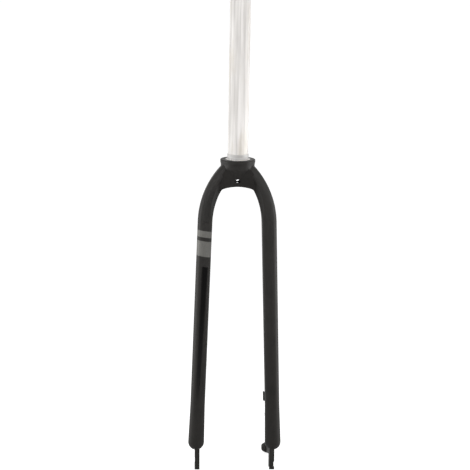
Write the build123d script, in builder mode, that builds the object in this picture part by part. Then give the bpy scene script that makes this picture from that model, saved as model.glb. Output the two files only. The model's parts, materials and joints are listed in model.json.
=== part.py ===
from build123d import *
from math import atan2, cos, radians, sin, tan
import os

# Rigid fork for a bicycle with a disc front brake, in millimetres.
# The steering axis is Z, the crown race shoulder is at Z = 0 and the front of the bicycle is towards -Y.
# The bicycle's left side, which carries the brake, is towards +X.
# A drop is measured down the leg plane, which leans forward from the crown race shoulder.

# Steerer tube
steerer_diameter = 28.6
steerer_bore = 24.0
steerer_length = 218.0
steerer_top_chamfer = 0.6
race_seat_diameter = 30.0
race_seat_height = 8.0
race_seat_chamfer = 0.7
steerer_base_bore = 22.0
steerer_base_taper = 14.0
shank_diameter = 29.4
shank_length = 20.0
press_clearance = 0.02

# Crown
collar_diameter = 49.0
collar_height = 3.6
collar_edge = 0.8
neck_diameter = 47.4
neck_top_drop = 7.0
neck_foot_drop = 13.0
core_foot_diameter = 25.0
core_drop = 31.0
drain_bore = 15.0
fender_hole_diameter = 6.4
fender_hole_drop = 29.5
web_top_drop = 14.0
web_top_width = 36.0
web_top_thickness = 37.0
web_foot_width = 78.0
web_foot_drop = 50.0
web_foot_thickness = 10.0
arch_drop = 38.6
arch_radius = 62.0
arch_corner = 6.0
arm_bend_radius = 110.0
arm_bend_angle = 45.0
crease_inset = 4.0
crease_shift = 9.3
crease_run = 12.0
crease_slope = 1.5
spigot_length = 14.0
spigot_clearance = 0.25

# Blades
leg_lean = 6.0
seam_drop = 88.0
seam_offset = 45.0
blade_top_width = 20.6
blade_top_depth = 31.0
blade_top_rounding = 8.8
blade_waist_width = 20.6
blade_waist_depth = 24.4
blade_waist_rounding = 9.4
foot_drop = 406.0
lower_leg_length = 54.0
foot_offset = 55.0
foot_width = 22.8
foot_rounding = 10.8
blade_wall = 1.8

# Dropouts
hub_width = 100.0
plate_thickness = 7.0
plate_reach = 30.0
axle_slot_width = 9.2
plate_width = 21.0
plate_shoulder = 3.0
tip_reach = 9.0
tip_rounding = 4.0
plate_neck_width = 15.0
plate_root_depth = 4.0
nut_recess_diameter = 22.0
nut_recess_depth = 1.0
lip_height = 2.4

# Disc brake mount, two threaded posts square to a line from the axle
post_spacing = 74.2
post_face_radius = 60.0
post_angle = 34.0
post_offset = 52.0
upper_post_diameter = 14.6
lower_post_diameter = 17.4
post_edge = 0.6
lower_post_length = 10.0
post_root_length = 4.0
post_root_taper = 45.0
thread_bore = 5.0
thread_depth = 8.6
brake_arm_thickness = 6.5
brake_arm_root_top = 42.0
brake_arm_root_foot = 12.0
brake_arm_sag = 13.0

# Hose guide on the left blade
guide_seam_gap = 3.5
guide_height = 13.0
guide_bore = 5.4
guide_wall = 2.0
guide_seat = 1.0
guide_angle = 60.0
guide_mouth = 3.6

LEFT = 1
RIGHT = -1

waist_drop = foot_drop - lower_leg_length
axle_drop = foot_drop + plate_reach
lean = radians(leg_lean)
leg_frame = Plane(origin=(0, 0, 0), x_dir=(1, 0, 0), z_dir=(0, sin(lean), cos(lean)))
splay = atan2(foot_offset - seam_offset, foot_drop - seam_drop)


def leg_vector(sideways, rearward, drop):
    """A point or a direction given in the leaning leg plane."""
    return leg_frame.from_local_coords(Vector(sideways, rearward, -drop))


def blade_plane(side, drop):
    """A plane square to a blade's straight axis, with X outward and Z down the leg."""
    sideways = seam_offset + (drop - seam_drop) * tan(splay)
    return Plane(
        origin=leg_vector(side * sideways, 0, drop),
        x_dir=leg_vector(side * cos(splay), 0, -sin(splay)),
        z_dir=leg_vector(side * sin(splay), 0, cos(splay)),
    )


def blade_section(side, section, inset=0.0):
    """One section of a blade, given as a drop, a width, a depth and a rounding, as a sketch."""
    drop, width, depth, rounding = section
    with BuildSketch(blade_plane(side, drop)) as outline:
        RectangleRounded(width - 2 * inset, depth - 2 * inset, rounding - inset)
    return outline.sketch


def blade_loft(side, sections, inset=0.0, mode=Mode.ADD):
    """A straight run of blade between its sections."""
    loft([blade_section(side, section, inset) for section in sections], ruled=True, mode=mode)


def spigot(side, mouth, beyond):
    """A plug in the mouth of a blade, which tapers as the blade does towards its next section."""
    share = spigot_length / abs(beyond[0] - mouth[0])
    plug_end = [start + (end - start) * share for start, end in zip(mouth, beyond)]
    blade_loft(side, (mouth, plug_end), blade_wall + spigot_clearance)


def axle_plane(side, outward):
    """A plane across the axle, with Y up the leg and Z outward, at a distance from the wheel's middle."""
    return Plane(
        origin=leg_vector(side * outward, 0, axle_drop),
        x_dir=leg_vector(0, side, 0),
        z_dir=(side, 0, 0),
    )


top_section = (seam_drop, blade_top_width, blade_top_depth, blade_top_rounding)
waist_section = (waist_drop, blade_waist_width, blade_waist_depth, blade_waist_rounding)
foot_section = (foot_drop, foot_width, foot_width, foot_rounding)

os.makedirs("parts", exist_ok=True)

# Steerer tube, thicker at its foot where the crown race is pressed on
with BuildPart() as steerer_tube:
    with BuildSketch(Plane.XZ):
        with BuildLine():
            Polyline(
                (steerer_base_bore / 2, -shank_length),
                (shank_diameter / 2, -shank_length),
                (shank_diameter / 2, 0),
                (race_seat_diameter / 2, 0),
                (race_seat_diameter / 2, race_seat_height - race_seat_chamfer),
                (steerer_diameter / 2, race_seat_height),
                (steerer_diameter / 2, steerer_length - steerer_top_chamfer),
                (steerer_diameter / 2 - steerer_top_chamfer, steerer_length),
                (steerer_bore / 2, steerer_length),
                (steerer_bore / 2, race_seat_height + steerer_base_taper),
                (steerer_base_bore / 2, race_seat_height),
                close=True,
            )
        make_face()
    revolve(axis=Axis.Z)
steerer_tube.part.label = "steerer_tube"
export_step(steerer_tube.part, "parts/steerer_tube.step")

# One arm of the crown, the blade's section carried round the bend, cut back to a crease on its wheel side
seam = blade_plane(LEFT, seam_drop)
bend_side = seam_offset - arm_bend_radius * cos(splay)
bend_drop = seam_drop + arm_bend_radius * sin(splay)
bend_centre = leg_vector(bend_side, 0, bend_drop)
inner_bend_radius = arm_bend_radius - blade_top_width / 2
crease_centre = seam.from_local_coords(Vector(-arm_bend_radius, 0, -crease_shift))
crease_radius = inner_bend_radius + crease_inset
crease_face = blade_top_depth / 2
with BuildPart() as crown_arm:
    revolve(blade_section(LEFT, top_section), Axis(bend_centre, seam.y_dir), arm_bend_angle)
    with BuildSketch(Plane(origin=crease_centre, x_dir=seam.x_dir, z_dir=seam.z_dir)):
        for face in (1, -1):
            Polygon(
                (crease_radius + crease_run, face * (crease_face + crease_run * crease_slope)),
                (crease_radius - crease_run, face * (crease_face + crease_run * crease_slope)),
                (crease_radius - crease_run, face * (crease_face - crease_run * crease_slope)),
                align=None,
            )
    revolve(axis=Axis(crease_centre, seam.y_dir), mode=Mode.SUBTRACT)

# Crown, a collar and core on the steering axis with two arms that bend down to the blades
front_plane = Plane(origin=(0, 0, 0), x_dir=(1, 0, 0), z_dir=leg_vector(0, -1, 0))
side_plane = Plane(origin=(0, 0, 0), x_dir=leg_vector(0, 1, 0), z_dir=(1, 0, 0))
with BuildPart() as fork_crown:
    # Web between the arms, a wedge that thins towards the arch over the wheel
    with BuildSketch(side_plane):
        with BuildLine():
            Polyline(
                (-web_top_thickness / 2, -web_top_drop),
                (web_top_thickness / 2, -web_top_drop),
                (web_foot_thickness / 2, -web_foot_drop),
                (-web_foot_thickness / 2, -web_foot_drop),
                close=True,
            )
        make_face()
    extrude(amount=web_foot_width, both=True)
    with BuildSketch(front_plane):
        with BuildLine():
            Polyline(
                (-web_foot_width / 2, -web_foot_drop),
                (-web_top_width / 2, -web_top_drop),
                (web_top_width / 2, -web_top_drop),
                (web_foot_width / 2, -web_foot_drop),
                close=True,
            )
        make_face()
    extrude(amount=web_top_thickness, both=True, mode=Mode.INTERSECT)
    with BuildSketch(front_plane) as arch:
        with Locations((0, -arch_drop - arch_radius)):
            Circle(arch_radius)
        for side in (RIGHT, LEFT):
            with Locations((side * bend_side, -bend_drop)):
                Circle(inner_bend_radius, mode=Mode.INTERSECT)
        fillet(arch.vertices().group_by(Axis.Y)[-1], arch_corner)
    extrude(amount=web_top_thickness, both=True, mode=Mode.SUBTRACT)
    add(crown_arm.part)
    mirror(crown_arm.part, about=Plane.YZ)
    # Collar, neck and core
    with BuildSketch(Plane.XZ):
        with BuildLine():
            Polyline(
                (0, -core_drop),
                (0, 0),
                (collar_diameter / 2 - collar_edge, 0),
                (collar_diameter / 2, -collar_edge),
                (collar_diameter / 2, -collar_height),
                (neck_diameter / 2, -neck_top_drop),
                (neck_diameter / 2, -neck_foot_drop),
                (core_foot_diameter / 2, -core_drop),
                close=True,
            )
        make_face()
    revolve(axis=Axis.Z)
    for side in (RIGHT, LEFT):
        spigot(side, top_section, waist_section)
    # Socket for the steerer, drain through the arch and hole for a mudguard bolt
    with BuildSketch(Plane.XY):
        Circle(shank_diameter / 2 + press_clearance)
    extrude(amount=-shank_length, mode=Mode.SUBTRACT)
    with BuildSketch(Plane.XY):
        Circle(drain_bore / 2)
    extrude(amount=-web_foot_drop, mode=Mode.SUBTRACT)
    with BuildSketch(Plane.XZ):
        with Locations((0, -fender_hole_drop)):
            Circle(fender_hole_diameter / 2)
    extrude(amount=collar_diameter, both=True, mode=Mode.SUBTRACT)
fork_crown.part.label = "fork_crown"
export_step(fork_crown.part, "parts/fork_crown.step")

# Blades, hollow and tapered, the left one shorter because its dropout reaches further up
with BuildPart() as right_blade:
    blade_loft(RIGHT, (top_section, waist_section, foot_section))
    blade_loft(RIGHT, (top_section, waist_section, foot_section), blade_wall, Mode.SUBTRACT)
right_blade.part.label = "right_blade"
export_step(right_blade.part, "parts/right_blade.step")

with BuildPart() as left_blade:
    blade_loft(LEFT, (top_section, waist_section))
    blade_loft(LEFT, (top_section, waist_section), blade_wall, Mode.SUBTRACT)
left_blade.part.label = "left_blade"
export_step(left_blade.part, "parts/left_blade.step")


def dropout_end(side):
    """Domed leg end with a slotted plate for the axle, a recess for the nut and a lip below it."""
    inner_face = hub_width / 2
    outer_face = inner_face + plate_thickness
    foot = blade_plane(side, foot_drop)
    with BuildSketch(Plane(origin=foot.origin, x_dir=foot.x_dir, z_dir=-foot.y_dir)) as dome:
        Circle(foot_width / 2)
        Rectangle(foot_width, foot_width, align=(Align.CENTER, Align.MAX), mode=Mode.SUBTRACT)
        Rectangle(foot_width, foot_width, align=(Align.MAX, Align.CENTER), mode=Mode.SUBTRACT)
    revolve(dome.sketch, Axis(foot.origin, foot.z_dir))
    root = plate_reach + plate_root_depth
    with BuildSketch(axle_plane(side, inner_face)) as outline:
        with BuildLine():
            Polyline(
                (-plate_width / 2, -tip_reach),
                (plate_width / 2, -tip_reach),
                (plate_width / 2, plate_shoulder),
                (plate_neck_width / 2, root),
                (-plate_neck_width / 2, root),
                (-plate_width / 2, plate_shoulder),
                close=True,
            )
        make_face()
        fillet(outline.vertices().group_by(Axis.Y)[0], tip_rounding)
        Circle(axle_slot_width / 2, mode=Mode.SUBTRACT)
        Rectangle(axle_slot_width, 2 * tip_reach, align=(Align.CENTER, Align.MAX), mode=Mode.SUBTRACT)
    extrude(outline.sketch, amount=plate_thickness)
    with BuildSketch(axle_plane(side, outer_face)) as recess:
        Circle(nut_recess_diameter / 2)
        with Locations((0, lip_height - tip_reach)):
            Rectangle(
                nut_recess_diameter, nut_recess_diameter, align=(Align.CENTER, Align.MAX), mode=Mode.SUBTRACT
            )
    extrude(recess.sketch, amount=-nut_recess_depth, mode=Mode.SUBTRACT)


# Right dropout, plugged into the foot of its blade
with BuildPart() as right_dropout:
    dropout_end(RIGHT)
    spigot(RIGHT, foot_section, waist_section)
right_dropout.part.label = "right_dropout"
export_step(right_dropout.part, "parts/right_dropout.step")

# Left dropout, with the lower leg and the brake posts in one piece
facing = radians(post_angle)
post_rear = post_face_radius * cos(facing)
post_up = post_face_radius * sin(facing)
half_rear = post_spacing / 2 * sin(facing)
half_up = post_spacing / 2 * cos(facing)
upper_post = (post_rear - half_rear, post_up + half_up)
lower_post = (post_rear + half_rear, post_up - half_up)


def post_plane(post):
    """The face of a brake post, with Z pointing out of it."""
    rear, up = post
    return Plane(
        origin=leg_vector(post_offset, rear, axle_drop - up),
        x_dir=(1, 0, 0),
        z_dir=leg_vector(0, cos(facing), -sin(facing)),
    )


def beside_post(post, inward, across):
    """A point in the axle plane beside a post, from its face inward and across its axis."""
    rear, up = post
    return (
        rear - inward * cos(facing) - across * sin(facing),
        up - inward * sin(facing) + across * cos(facing),
    )


with BuildPart() as left_dropout:
    blade_loft(LEFT, (waist_section, foot_section))
    dropout_end(LEFT)
    spigot(LEFT, waist_section, top_section)
    # Arm that carries the lower post behind the axle
    arm_top = (0, brake_arm_root_top)
    arm_end = beside_post(lower_post, lower_post_length / 2, lower_post_diameter / 2)
    arm_toe = beside_post(lower_post, lower_post_length, -lower_post_diameter / 4)
    arm_run = Vector(*arm_end) - Vector(*arm_top)
    arm_middle = (Vector(*arm_end) + Vector(*arm_top)) / 2
    arm_crook = arm_middle + arm_run.normalized().rotate(Axis.Z, -90) * brake_arm_sag
    with BuildSketch(axle_plane(LEFT, hub_width / 2 + plate_thickness)):
        with BuildLine():
            ThreePointArc(arm_top, arm_crook, arm_end)
            Polyline(arm_end, arm_toe, (0, brake_arm_root_foot), arm_top)
        make_face()
    extrude(amount=-brake_arm_thickness)
    for post, diameter, length in (
        (upper_post, upper_post_diameter, upper_post[0] / cos(facing)),
        (lower_post, lower_post_diameter, lower_post_length),
    ):
        with BuildSketch(post_plane(post)):
            Circle(diameter / 2)
        extrude(amount=post_root_length - length)
        post_face = faces(Select.LAST).sort_by(Axis(post_plane(post).origin, post_plane(post).z_dir))[-1]
        chamfer(post_face.edges(), post_edge)
        with BuildSketch(post_plane(post).offset(post_root_length - length)):
            Circle(diameter / 2)
        extrude(amount=-post_root_length, taper=post_root_taper)
    for post in (upper_post, lower_post):
        with BuildSketch(post_plane(post)):
            Circle(thread_bore / 2)
        extrude(amount=-thread_depth, mode=Mode.SUBTRACT)
left_dropout.part.label = "left_dropout"
export_step(left_dropout.part, "parts/left_dropout.step")

# Hose guide, a small open clip on the inner rear side of the left blade
guide_radius = guide_bore / 2 + guide_wall
guide_reach = blade_waist_rounding + guide_seat + guide_bore / 2
guide_side = blade_waist_rounding - blade_waist_width / 2 - guide_reach * cos(radians(guide_angle))
guide_rear = blade_waist_depth / 2 - blade_waist_rounding + guide_reach * sin(radians(guide_angle))
guide_top = waist_drop - guide_seam_gap - guide_height
with BuildPart() as hose_guide:
    with BuildSketch(blade_plane(LEFT, guide_top)):
        with Locations((guide_side, -guide_rear)):
            Circle(guide_radius)
            Circle(guide_bore / 2, mode=Mode.SUBTRACT)
            Rectangle(
                guide_radius,
                guide_mouth,
                rotation=180 + guide_angle,
                align=(Align.MIN, Align.CENTER),
                mode=Mode.SUBTRACT,
            )
    extrude(amount=guide_height)
    blade_loft(LEFT, (top_section, waist_section), mode=Mode.SUBTRACT)
hose_guide.part.label = "hose_guide"
export_step(hose_guide.part, "parts/hose_guide.step")
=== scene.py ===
import json
import math

import bpy
from mathutils import Matrix, Vector


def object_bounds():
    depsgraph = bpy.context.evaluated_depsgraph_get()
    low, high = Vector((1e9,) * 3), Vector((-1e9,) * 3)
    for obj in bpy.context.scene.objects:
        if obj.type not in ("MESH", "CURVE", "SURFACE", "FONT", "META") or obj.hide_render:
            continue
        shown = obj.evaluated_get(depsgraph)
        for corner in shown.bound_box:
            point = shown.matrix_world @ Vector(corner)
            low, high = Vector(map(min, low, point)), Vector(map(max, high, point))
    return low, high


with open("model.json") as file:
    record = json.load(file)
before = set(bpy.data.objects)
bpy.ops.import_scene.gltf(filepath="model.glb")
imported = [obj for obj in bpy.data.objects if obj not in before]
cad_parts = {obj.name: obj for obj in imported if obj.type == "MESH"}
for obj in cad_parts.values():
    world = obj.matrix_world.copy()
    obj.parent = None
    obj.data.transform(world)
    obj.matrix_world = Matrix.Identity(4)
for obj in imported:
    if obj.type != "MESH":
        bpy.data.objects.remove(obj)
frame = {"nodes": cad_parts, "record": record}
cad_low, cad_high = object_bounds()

# Camera fitted to the photograph, in metres, degrees and pixels
CAMERA_DISTANCE = 1.60
CAMERA_HEIGHT = 0.253
CAMERA_TURN = 2.6
CAMERA_PITCH = 12.75
CAMERA_YAW_SHIFT = 0.078
CAMERA_ROLL = 0.94
CAMERA_FOCAL_PIXELS = 1158.0
PHOTO_PIXELS = 470.0
SENSOR_MM = 36.0

# The frame's origin and directions, and scales that flatten a place to one view
ORIGIN = (0.0, 0.0, 0.0)
SIDEWAYS = (1.0, 0.0, 0.0)
REARWARD = (0.0, 1.0, 0.0)
UPWARD = (0.0, 0.0, 1.0)
SEEN_FROM_ABOVE = (1.0, 1.0, 0.0)
SEEN_FROM_FRONT = (1.0, 0.0, 1.0)

# The legs lean forward by this angle, and drops are measured down them
LEG_LEAN = math.radians(6.0)
DOWN_LEG = (0.0, -math.sin(LEG_LEAN), -math.cos(LEG_LEAN))
BEHIND_LEG = (0.0, math.cos(LEG_LEAN), -math.sin(LEG_LEAN))

# The right blade's middle line and half width, from its seam to its foot, in metres
SEAM_DROP = 0.088
SEAM_OFFSET = 0.045
FOOT_DROP = 0.406
FOOT_OFFSET = 0.055
HALF_WIDTH = 0.0103

# In the finishes below, a noise is its scale per metre, its detail and its roughness.
# A stretch scales places before the noise, so a small factor draws it out.
# A span is the part of a noise's range that is used, and a tone is a grey level and its warmth.
# Lengths are in metres.

# Bare drawn aluminium: wide streaks, fine scratches and faint stains, all drawn out along the tube
STREAK_NOISE = (230.0, 3.0, 0.6)
STREAK_STRETCH = (1.0, 1.0, 0.035)
STREAK_SPAN = (0.34, 0.68)
STREAK_TONES = ((0.70, 0.022), (0.86, 0.016))
STREAK_ROUGHNESS = (0.95, 0.85)
STREAK_HEIGHT_SHARE = 0.4
SCRATCH_NOISE = (1400.0, 2.0, 0.5)
SCRATCH_STRETCH = (1.0, 1.0, 0.02)
STAIN_NOISE = (42.0, 4.0, 0.6)
STAIN_STRETCH = (1.0, 1.0, 0.35)
STAIN_SPAN = (0.50, 0.70)
STAIN_SHARE = 0.45
STAIN_COLOUR = (0.70, 0.65, 0.57, 1.0)

# Crown race seat at the foot of the steerer, turned, so its rings lie across the tube
SEAT_TOP = 0.0078
SEAT_EDGE = 0.0003
SEAT_SHARE = 0.8
SEAT_ROUGHNESS = 0.75
RING_NOISE = (1800.0, 2.0, 0.5)
RING_STRETCH = (0.02, 0.02, 1.0)
RING_SPAN = (0.35, 0.65)
RING_TONES = ((0.46, 0.015), (0.62, 0.010))
METAL_BUMP_STRENGTH = 0.5
METAL_BUMP_DEPTH = 0.0001

# Satin black paint: clouds and mottle in its tone, fine orange peel and a little dust
CLOUD_NOISE = (35.0, 4.0, 0.55)
CLOUD_SHARE = 0.6
MOTTLE_NOISE = (420.0, 3.0, 0.6)
MOTTLE_SHARE = 0.4
PAINT_SPAN = (0.38, 0.62)
PAINT_TONES = ((0.0110, 0.10), (0.0165, 0.10))
PAINT_ROUGHNESS = (0.46, 0.56)
PAINT_SPECULAR = 0.22
PEEL_NOISE = (900.0, 2.0, 0.5)
PEEL_STRENGTH = 0.12
PEEL_DEPTH = 0.0002
DUST_NOISE = (2600.0, 1.0, 0.5)
DUST_SPAN = (0.72, 0.80)
DUST_SHARE = 0.18
DUST_TONE = (0.09, 0.05)

# Small edges are rounded in their shading only
CROWN_ROUNDING = 0.0008
SMALL_ROUNDING = 0.0006
ROUNDING_SAMPLES = 6

# Top of the crown: a bare ring under the crown race, then a lighter grey out to the rim that is painted
# sheen of the grazing top face
BARE_RING_RADIUS = 0.0172
RIM_RADIUS = 0.0238
RIM_EDGE = 0.001
CROWN_TOP_DEPTH = 0.0004
RIM_SHEEN_NOISE = (300.0, 3.0, 0.6)
RIM_SHEEN_SPAN = (0.3, 0.7)
RIM_SHEEN_TONES = ((0.03, 0.04), (0.06, 0.04))

# The record's mounts by name, and its millimetre in metres, for the mudguard hole and the brake posts
MOUNTS = {mount["name"]: mount for mount in frame["record"]["mounts"]}
MM = 0.001

# Mudguard hole through the crown, painted near black inside as painted shade
HOLE = MOUNTS["mudguard_hole"]
HOLE_MARGIN = 0.0002
HOLE_SHADE_TONE = (0.004, 0.0)
HOLE_ROUGHNESS = 1.0

# Bare machined faces and threads of the two brake posts, and the height of the orange peel beside them
POSTS = (MOUNTS["disc_mount_upper"], MOUNTS["disc_mount_lower"])
POST_FACE_RADIUS = 0.0095
POST_FACE_DEPTH = 0.0002
POST_TONES = ((0.50, 0.01), (0.66, 0.01))
POST_ROUGHNESS = 0.34
GRAIN_NOISE = (700.0, 3.0, 0.6)
GRAIN_SPAN = (0.3, 0.7)
THREAD_MARGIN = 0.0001
THREAD_REACH = 0.0095
THREAD_PITCH = 0.001
THREAD_TONE = (0.28, 0.02)
POST_PEEL_HEIGHT = 0.00002

# Plain grey bands near the top of the right blade, as drops, and how much they slope towards the wheel
UPPER_BAND = (0.1002, 0.1092)
LOWER_BAND = (0.1146, 0.1362)
BAND_SLOPE = 0.145
BAND_EDGE = 0.0004
BAND_COLOURS = ((0.108, 0.106, 0.098, 1.0), (0.134, 0.131, 0.121, 1.0))
BAND_ROUGHNESS = 0.42
WEAVE_NOISE = (1200.0, 2.0, 0.5)
WEAVE_SPAN = (0.3, 0.7)

# Plain gloss stripe below the bands: its top and fading foot, and its two edges as shares of the half width
STRIPE_TOP = 0.1504
STRIPE_FADE = (0.300, 0.365)
STRIPE_OUTER = (-0.20, -0.35)
STRIPE_INNER = (0.74, 0.17)
STRIPE_SOFTNESS = 0.22
STRIPE_FRONT_EDGE = 0.001
STRIPE_TONE = (0.0025, 0.03)
STRIPE_ROUGHNESS = 0.14

# Pale floor, and the glow that lifts it to white for the camera, and for reflections towards the back
FLOOR_REACH = 60.0
FLOOR_TONE = (0.42, 0.0)
FLOOR_LIFT = 0.78
FLOOR_LIFT_SPAN = (-0.6, 1.0)

# Light of the room from the front, then from its sides and back, and the direction's Y where it changes
WORLD_FRONT = 0.15
WORLD_SIDE = 0.85
WORLD_TURN = (-0.7, 0.2)

# Softboxes, with their power in watts. The side, upper and front boxes are in pairs, and these are at +X
FORK_MIDDLE = (0.0, 0.0, -0.1)
LEG_MIDDLE = (0.0, -0.03, -0.25)
SIDE_BOX = dict(place=(0.75, *LEG_MIDDLE[1:]), target=LEG_MIDDLE, width=0.16, height=0.7, power=4.2)
UPPER_BOX = dict(place=(0.8, -0.75, 0.55), target=FORK_MIDDLE, width=0.6, height=0.5, power=3.2)
FRONT_BOX = dict(place=(0.5, -1.3, 0.33), target=FORK_MIDDLE, width=0.5, height=0.4, power=5.0)
TOP_BOX = dict(place=(0.0, -0.5, 1.3), target=FORK_MIDDLE, width=1.2, height=0.9, power=2.0)


class Graph:
    """A material's node tree, built a node at a time."""

    def __init__(self, name):
        self.material = bpy.data.materials.new(name)
        self.material.use_nodes = True
        self.tree = self.material.node_tree
        self.tree.nodes.clear()
        self.output = self.add("ShaderNodeOutputMaterial")
        self.place = self.add("ShaderNodeTexCoord").outputs["Object"]

    def add(self, kind, **settings):
        node = self.tree.nodes.new(kind)
        for key, value in settings.items():
            setattr(node, key, value)
        return node

    def put(self, value, socket):
        """Links a socket to another, or sets its value."""
        if isinstance(value, bpy.types.NodeSocket):
            self.tree.links.new(value, socket)
        else:
            socket.default_value = value

    def math(self, operation, first, second=0.0):
        node = self.add("ShaderNodeMath", operation=operation)
        self.put(first, node.inputs[0])
        self.put(second, node.inputs[1])
        return node.outputs[0]

    def product(self, *factors):
        total = factors[0]
        for factor in factors[1:]:
            total = self.math("MULTIPLY", total, factor)
        return total

    def vector(self, operation, first, second, result="Vector"):
        node = self.add("ShaderNodeVectorMath", operation=operation)
        self.put(first, node.inputs[0])
        self.put(second, node.inputs[1])
        return node.outputs[result]

    def dot(self, vector, direction):
        return self.vector("DOT_PRODUCT", vector, direction, "Value")

    def distance(self, vector, point):
        return self.vector("DISTANCE", vector, point, "Value")

    def scaled(self, scale):
        """The place on the part, scaled along each axis."""
        return self.vector("MULTIPLY", self.place, scale)

    def noise(self, pattern, stretch=None):
        """Noise on the part, drawn out along the axes where the stretch is small."""
        node = self.add("ShaderNodeTexNoise")
        self.put(self.scaled(stretch) if stretch else self.place, node.inputs["Vector"])
        for name, value in zip(("Scale", "Detail", "Roughness"), pattern):
            self.put(value, node.inputs[name])
        return node.outputs["Fac"]

    def spread(self, value, low, high, to_low=0.0, to_high=1.0, smooth=False):
        """Maps a range of values to another, held at its ends."""
        node = self.add("ShaderNodeMapRange", clamp=True)
        if smooth:
            node.interpolation_type = "SMOOTHSTEP"
        for socket, number in zip(node.inputs[:5], (value, low, high, to_low, to_high)):
            self.put(number, socket)
        return node.outputs["Result"]

    def between(self, value, low, high, soft):
        """1 between two levels, 0 outside, with soft steps."""
        rise = self.spread(value, low - soft, low + soft)
        fall = self.spread(value, high - soft, high + soft, 1.0, 0.0)
        return self.product(rise, fall)

    def join(self, kind, share, first, second):
        """Mixes two values of one kind."""
        node = self.add("ShaderNodeMix", data_type=kind)
        self.put(share, node.inputs["Factor"])
        self.put(first, node.inputs["A"])
        self.put(second, node.inputs["B"])
        return node.outputs["Result"]

    def mix(self, share, first, second):
        """Mixes two colours."""
        return self.join("RGBA", share, first, second)

    def mix_tones(self, share, tones):
        """Mixes two greys that are given as tones."""
        first, second = tones
        return self.mix(share, grey(*first), grey(*second))

    def blend(self, share, first, second):
        """Mixes two numbers."""
        return self.join("FLOAT", share, first, second)

    def soft_edges(self, radius):
        """A normal that rounds the edges it meets within a radius."""
        node = self.add("ShaderNodeBevel", samples=ROUNDING_SAMPLES)
        self.put(radius, node.inputs["Radius"])
        return node.outputs["Normal"]

    def bump(self, height, strength, distance, below=None):
        """A normal that follows a height, on top of another normal where one is given."""
        node = self.add("ShaderNodeBump")
        self.put(strength, node.inputs["Strength"])
        self.put(distance, node.inputs["Distance"])
        self.put(height, node.inputs["Height"])
        if below is not None:
            self.put(below, node.inputs["Normal"])
        return node.outputs["Normal"]

    def surface(self, **sockets):
        """Ends the tree with a principled shader. Its Base Color socket is base_color, and so on."""
        shader = self.add("ShaderNodeBsdfPrincipled")
        for name, value in sockets.items():
            self.put(value, shader.inputs[name.replace("_", " ").title().replace("Ior", "IOR")])
        self.put(shader.outputs["BSDF"], self.output.inputs["Surface"])
        return self.material


def grey(level, warmth=0.0):
    """A grey with more red and less blue by its warmth."""
    return (level * (1 + warmth), level, level * (1 - warmth), 1.0)


def mount_radius(mount):
    """A mount's radius in metres."""
    return mount["dims"]["r_mm"] * MM


def bare_metal(graph):
    """Colour, roughness and height of bare drawn aluminium with lengthwise streaks."""
    wide = graph.noise(STREAK_NOISE, STREAK_STRETCH)
    fine = graph.noise(SCRATCH_NOISE, SCRATCH_STRETCH)
    stain = graph.noise(STAIN_NOISE, STAIN_STRETCH)
    streak = graph.spread(wide, *STREAK_SPAN)
    colour = graph.mix_tones(streak, STREAK_TONES)
    colour = graph.mix(graph.spread(stain, *STAIN_SPAN, 0.0, STAIN_SHARE), colour, STAIN_COLOUR)
    rough = graph.blend(streak, *STREAK_ROUGHNESS)
    height = graph.math("ADD", graph.product(wide, STREAK_HEIGHT_SHARE), fine)
    return colour, rough, height


def black_paint(graph):
    """Colour, roughness and height of satin black paint with fine orange peel and a little dust."""
    cloud = graph.noise(CLOUD_NOISE)
    mottle = graph.noise(MOTTLE_NOISE)
    peel = graph.noise(PEEL_NOISE)
    dust = graph.noise(DUST_NOISE)
    tone = graph.math("ADD", graph.product(cloud, CLOUD_SHARE), graph.product(mottle, MOTTLE_SHARE))
    colour = graph.mix_tones(graph.spread(tone, *PAINT_SPAN), PAINT_TONES)
    colour = graph.mix(graph.spread(dust, *DUST_SPAN, 0.0, DUST_SHARE), colour, grey(*DUST_TONE))
    rough = graph.spread(tone, *PAINT_SPAN, *PAINT_ROUGHNESS)
    return colour, rough, peel


def steerer_material():
    """Streaked tube, with a turned and slightly greyer crown race seat at its foot."""
    graph = Graph("bare_aluminium")
    colour, rough, height = bare_metal(graph)
    rise = graph.dot(graph.place, UPWARD)
    seat = graph.spread(rise, SEAT_TOP - SEAT_EDGE, SEAT_TOP, 1.0, 0.0)
    rings = graph.noise(RING_NOISE, RING_STRETCH)
    seat_colour = graph.mix_tones(graph.spread(rings, *RING_SPAN), RING_TONES)
    relief = graph.blend(seat, height, rings)
    return graph.surface(
        base_color=graph.mix(graph.product(seat, SEAT_SHARE), colour, seat_colour),
        metallic=1.0,
        roughness=graph.blend(seat, rough, SEAT_ROUGHNESS),
        normal=graph.bump(relief, METAL_BUMP_STRENGTH, METAL_BUMP_DEPTH),
    )


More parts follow.
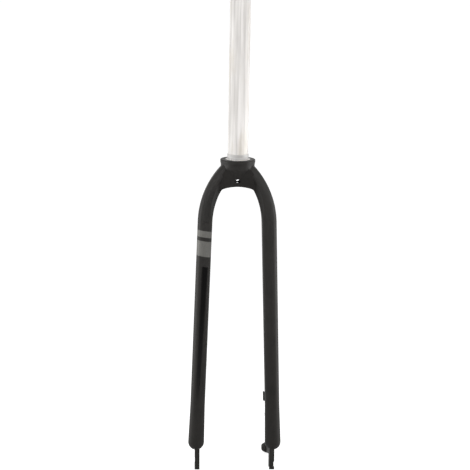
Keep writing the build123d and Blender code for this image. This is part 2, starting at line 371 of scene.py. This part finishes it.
def crown_material():
    """Satin black, with a bare ring on top, a lighter painted sheen round it and painted shade inside the
    mudguard hole.
    """
    graph = Graph("crown_paint")
    paint, paint_rough, peel = black_paint(graph)
    metal, metal_rough, _ = bare_metal(graph)
    across = graph.distance(graph.scaled(SEEN_FROM_ABOVE), ORIGIN)
    rise = graph.dot(graph.place, UPWARD)
    on_top = graph.math("GREATER_THAN", rise, -CROWN_TOP_DEPTH)
    bare = graph.product(on_top, graph.math("LESS_THAN", across, BARE_RING_RADIUS))
    # A lighter grey across the painted top face out to the rim: painted sheen that stands for the
    # reflection the grazing top face catches
    rim_sheen = graph.product(on_top, graph.spread(across, RIM_RADIUS - RIM_EDGE, RIM_RADIUS, 1.0, 0.0))
    hole_x, _, hole_z = HOLE["pos_m"]
    from_hole = graph.distance(graph.scaled(SEEN_FROM_FRONT), (hole_x, 0.0, hole_z))
    hole = graph.math("LESS_THAN", from_hole, mount_radius(HOLE) + HOLE_MARGIN)
    patchy_sheen = graph.spread(graph.noise(RIM_SHEEN_NOISE), *RIM_SHEEN_SPAN)
    colour = graph.mix(rim_sheen, paint, graph.mix_tones(patchy_sheen, RIM_SHEEN_TONES))
    colour = graph.mix(bare, colour, metal)
    # Painted shade: the mudguard hole's bore is painted near black and made fully rough
    colour = graph.mix(hole, colour, grey(*HOLE_SHADE_TONE))
    rough = graph.blend(hole, graph.blend(bare, paint_rough, metal_rough), HOLE_ROUGHNESS)
    return graph.surface(
        base_color=colour,
        metallic=bare,
        roughness=rough,
        specular_ior_level=PAINT_SPECULAR,
        normal=graph.bump(peel, PEEL_STRENGTH, PEEL_DEPTH, graph.soft_edges(CROWN_ROUNDING)),
    )


def satin_material():
    """Plain satin black."""
    graph = Graph("satin_black_paint")
    colour, rough, peel = black_paint(graph)
    return graph.surface(
        base_color=colour,
        roughness=rough,
        specular_ior_level=PAINT_SPECULAR,
        normal=graph.bump(peel, PEEL_STRENGTH, PEEL_DEPTH, graph.soft_edges(SMALL_ROUNDING)),
    )


def brake_material():
    """Satin black, with bare machined faces and threads on the two brake posts."""
    graph = Graph("brake_side_paint")
    paint, paint_rough, peel = black_paint(graph)
    bare = 0.0
    thread = 0.0
    rings = 0.0
    for post in POSTS:
        reach = graph.vector("SUBTRACT", graph.place, post["pos_m"])
        along = graph.dot(reach, post["axis"])
        across = graph.math(
            "SQRT",
            graph.math("SUBTRACT", graph.dot(reach, reach), graph.product(along, along)),
        )
        face = graph.product(
            graph.math("GREATER_THAN", along, -POST_FACE_DEPTH),
            graph.math("LESS_THAN", across, POST_FACE_RADIUS),
        )
        inside = graph.product(
            graph.math("LESS_THAN", across, mount_radius(post) + THREAD_MARGIN),
            graph.math("LESS_THAN", graph.math("ABSOLUTE", along), THREAD_REACH),
        )
        bare = graph.math("MAXIMUM", bare, graph.math("MAXIMUM", face, inside))
        thread = graph.math("MAXIMUM", thread, inside)
        turns = graph.math("PINGPONG", along, THREAD_PITCH / 2)
        rings = graph.math("ADD", rings, graph.product(inside, turns))
    grain = graph.spread(graph.noise(GRAIN_NOISE), *GRAIN_SPAN)
    metal = graph.mix_tones(grain, POST_TONES)
    metal = graph.mix(thread, metal, grey(*THREAD_TONE))
    height_in_metres = graph.math("ADD", graph.product(peel, POST_PEEL_HEIGHT), rings)
    soft = graph.soft_edges(SMALL_ROUNDING)
    return graph.surface(
        base_color=graph.mix(bare, paint, metal),
        metallic=bare,
        roughness=graph.blend(bare, paint_rough, POST_ROUGHNESS),
        specular_ior_level=PAINT_SPECULAR,
        normal=graph.bump(height_in_metres, strength=1.0, distance=1.0, below=soft),
    )


def stripe_share(graph, drop, inward, level):
    """How much of the gloss stripe lies at a place: its two long edges, top, fading foot and front half."""
    across = graph.product(inward, 1 / HALF_WIDTH)
    outer = graph.spread(drop, STRIPE_TOP, STRIPE_FADE[1], *STRIPE_OUTER)
    inner = graph.spread(drop, STRIPE_TOP, STRIPE_FADE[1], *STRIPE_INNER)
    past_outer = graph.math("SUBTRACT", across, outer)
    before_inner = graph.math("SUBTRACT", inner, across)
    rise = graph.spread(past_outer, -STRIPE_SOFTNESS, STRIPE_SOFTNESS, smooth=True)
    fall = graph.spread(before_inner, 0.0, STRIPE_SOFTNESS, smooth=True)
    start = graph.spread(level, STRIPE_TOP - BAND_EDGE, STRIPE_TOP + BAND_EDGE)
    end = graph.spread(drop, *STRIPE_FADE, 1.0, 0.0, smooth=True)
    front = graph.spread(graph.dot(graph.place, BEHIND_LEG), 0.0, STRIPE_FRONT_EDGE, 1.0, 0.0)
    return graph.product(rise, fall, start, end, front)


def banded_material():
    """Black paint with two plain grey bands and a plain gloss stripe below them."""
    graph = Graph("banded_black_paint")
    colour, rough, peel = black_paint(graph)
    drop = graph.dot(graph.place, DOWN_LEG)
    sideways = graph.dot(graph.place, SIDEWAYS)
    middle = graph.spread(drop, SEAM_DROP, FOOT_DROP, -SEAM_OFFSET, -FOOT_OFFSET)
    inward = graph.math("SUBTRACT", sideways, middle)
    level = graph.math("SUBTRACT", drop, graph.product(inward, BAND_SLOPE))
    stripe = stripe_share(graph, drop, inward, level)
    colour = graph.mix(stripe, colour, grey(*STRIPE_TONE))
    rough = graph.blend(stripe, rough, STRIPE_ROUGHNESS)
    upper = graph.between(level, *UPPER_BAND, BAND_EDGE)
    lower = graph.between(level, *LOWER_BAND, BAND_EDGE)
    bands = graph.math("ADD", upper, lower)
    weave = graph.spread(graph.noise(WEAVE_NOISE), *WEAVE_SPAN)
    return graph.surface(
        base_color=graph.mix(bands, colour, graph.mix(weave, *BAND_COLOURS)),
        roughness=graph.blend(bands, rough, BAND_ROUGHNESS),
        specular_ior_level=PAINT_SPECULAR,
        normal=graph.bump(peel, PEEL_STRENGTH, PEEL_DEPTH),
    )


def paint_nodes():
    """Gives each node of the frame its finish."""
    satin = satin_material()
    finishes = {
        "steerer_tube": steerer_material(),
        "fork_crown": crown_material(),
        "right_blade": banded_material(),
        "left_blade": satin,
        "right_dropout": satin,
        "left_dropout": brake_material(),
        "hose_guide": satin,
    }
    for name, material in finishes.items():
        mesh = frame["nodes"][name].data
        mesh.materials.clear()
        mesh.materials.append(material)


def floor_material():
    """Pale floor that keeps a soft shadow, lifted for the camera, and for reflections towards the back."""
    graph = Graph("pale_floor")
    diffuse = graph.add("ShaderNodeBsdfDiffuse")
    graph.put(grey(*FLOOR_TONE), diffuse.inputs["Color"])
    path = graph.add("ShaderNodeLightPath")
    behind = graph.spread(graph.dot(graph.place, REARWARD), *FLOOR_LIFT_SPAN, smooth=True)
    reflected = graph.product(path.outputs["Is Glossy Ray"], behind)
    seen = graph.math("MAXIMUM", path.outputs["Is Camera Ray"], path.outputs["Is Transmission Ray"])
    seen = graph.math("MAXIMUM", seen, reflected)
    lift = graph.add("ShaderNodeEmission")
    graph.put(graph.product(seen, FLOOR_LIFT), lift.inputs["Strength"])
    total = graph.add("ShaderNodeAddShader")
    graph.put(diffuse.outputs[0], total.inputs[0])
    graph.put(lift.outputs[0], total.inputs[1])
    graph.put(total.outputs[0], graph.output.inputs["Surface"])
    return graph.material


def add_floor():
    """Lays a wide floor at the height of the fork's lowest point."""
    mesh = bpy.data.meshes.new("floor")
    corners = [(-1, -1), (1, -1), (1, 1), (-1, 1)]
    points = [(x * FLOOR_REACH, y * FLOOR_REACH, cad_low.z) for x, y in corners]
    mesh.from_pydata(points, [], [(0, 1, 2, 3)])
    mesh.materials.append(floor_material())
    floor = bpy.data.objects.new("floor", mesh)
    bpy.context.scene.collection.objects.link(floor)


def add_world():
    """White studio, darker on the side where the photographer stands."""
    world = bpy.data.worlds.new("studio")
    world.use_nodes = True
    bpy.context.scene.world = world
    tree = world.node_tree
    background = tree.nodes["Background"]
    background.inputs["Color"].default_value = grey(1.0)
    path = tree.nodes.new("ShaderNodeLightPath")
    seen = tree.nodes.new("ShaderNodeMath")
    seen.operation = "MAXIMUM"
    tree.links.new(path.outputs["Is Camera Ray"], seen.inputs[0])
    tree.links.new(path.outputs["Is Transmission Ray"], seen.inputs[1])
    direction = tree.nodes.new("ShaderNodeSeparateXYZ")
    tree.links.new(tree.nodes.new("ShaderNodeTexCoord").outputs["Generated"], direction.inputs[0])
    room = tree.nodes.new("ShaderNodeMapRange")
    room.interpolation_type = "SMOOTHSTEP"
    names = ("From Min", "From Max", "To Min", "To Max")
    for name, value in zip(names, (*WORLD_TURN, WORLD_FRONT, WORLD_SIDE)):
        room.inputs[name].default_value = value
    tree.links.new(direction.outputs["Y"], room.inputs["Value"])
    level = tree.nodes.new("ShaderNodeMath")
    level.operation = "MAXIMUM"
    tree.links.new(seen.outputs[0], level.inputs[0])
    tree.links.new(room.outputs["Result"], level.inputs[1])
    tree.links.new(level.outputs[0], background.inputs["Strength"])


def add_lamp(name, side, place, target, width, height, power):
    """Adds a softbox that the camera doesn't see, mirrored to -X where the side is -1."""
    place = Vector((side * place[0], place[1], place[2]))
    lamp = bpy.data.lights.new(name, "AREA")
    lamp.shape = "RECTANGLE"
    lamp.size = width
    lamp.size_y = height
    lamp.energy = power
    holder = bpy.data.objects.new(name, lamp)
    holder.location = place
    holder.rotation_euler = (Vector(target) - place).to_track_quat("-Z", "Y").to_euler()
    holder.visible_camera = False
    bpy.context.scene.collection.objects.link(holder)


def add_lights():
    """Adds a strip, an upper box and a front box on each side, and one box above."""
    for name, side in (("left_softbox", -1.0), ("right_softbox", 1.0)):
        add_lamp(name, side, **SIDE_BOX)
        add_lamp("upper_" + name, side, **UPPER_BOX)
        add_lamp("front_" + name, side, **FRONT_BOX)
    add_lamp("top_softbox", 1.0, **TOP_BOX)


def add_camera():
    """Puts the camera where the photograph was taken."""
    turn = math.radians(CAMERA_TURN)
    place = Vector((-CAMERA_DISTANCE * math.sin(turn), -CAMERA_DISTANCE * math.cos(turn), CAMERA_HEIGHT))
    camera_data = bpy.data.cameras.new("photo_camera")
    camera_data.sensor_width = SENSOR_MM
    camera_data.lens = CAMERA_FOCAL_PIXELS / PHOTO_PIXELS * SENSOR_MM
    camera = bpy.data.objects.new("photo_camera", camera_data)
    yaw = Matrix.Rotation(math.radians(CAMERA_YAW_SHIFT - CAMERA_TURN), 4, "Z")
    pitch = Matrix.Rotation(math.pi / 2 - math.radians(CAMERA_PITCH), 4, "X")
    roll = Matrix.Rotation(math.radians(CAMERA_ROLL), 4, "Z")
    camera.matrix_world = Matrix.Translation(place) @ yaw @ pitch @ roll
    bpy.context.scene.collection.objects.link(camera)
    bpy.context.scene.camera = camera


paint_nodes()
add_floor()
add_world()
add_lights()
add_camera()
bpy.context.scene.view_settings.view_transform = "Standard"
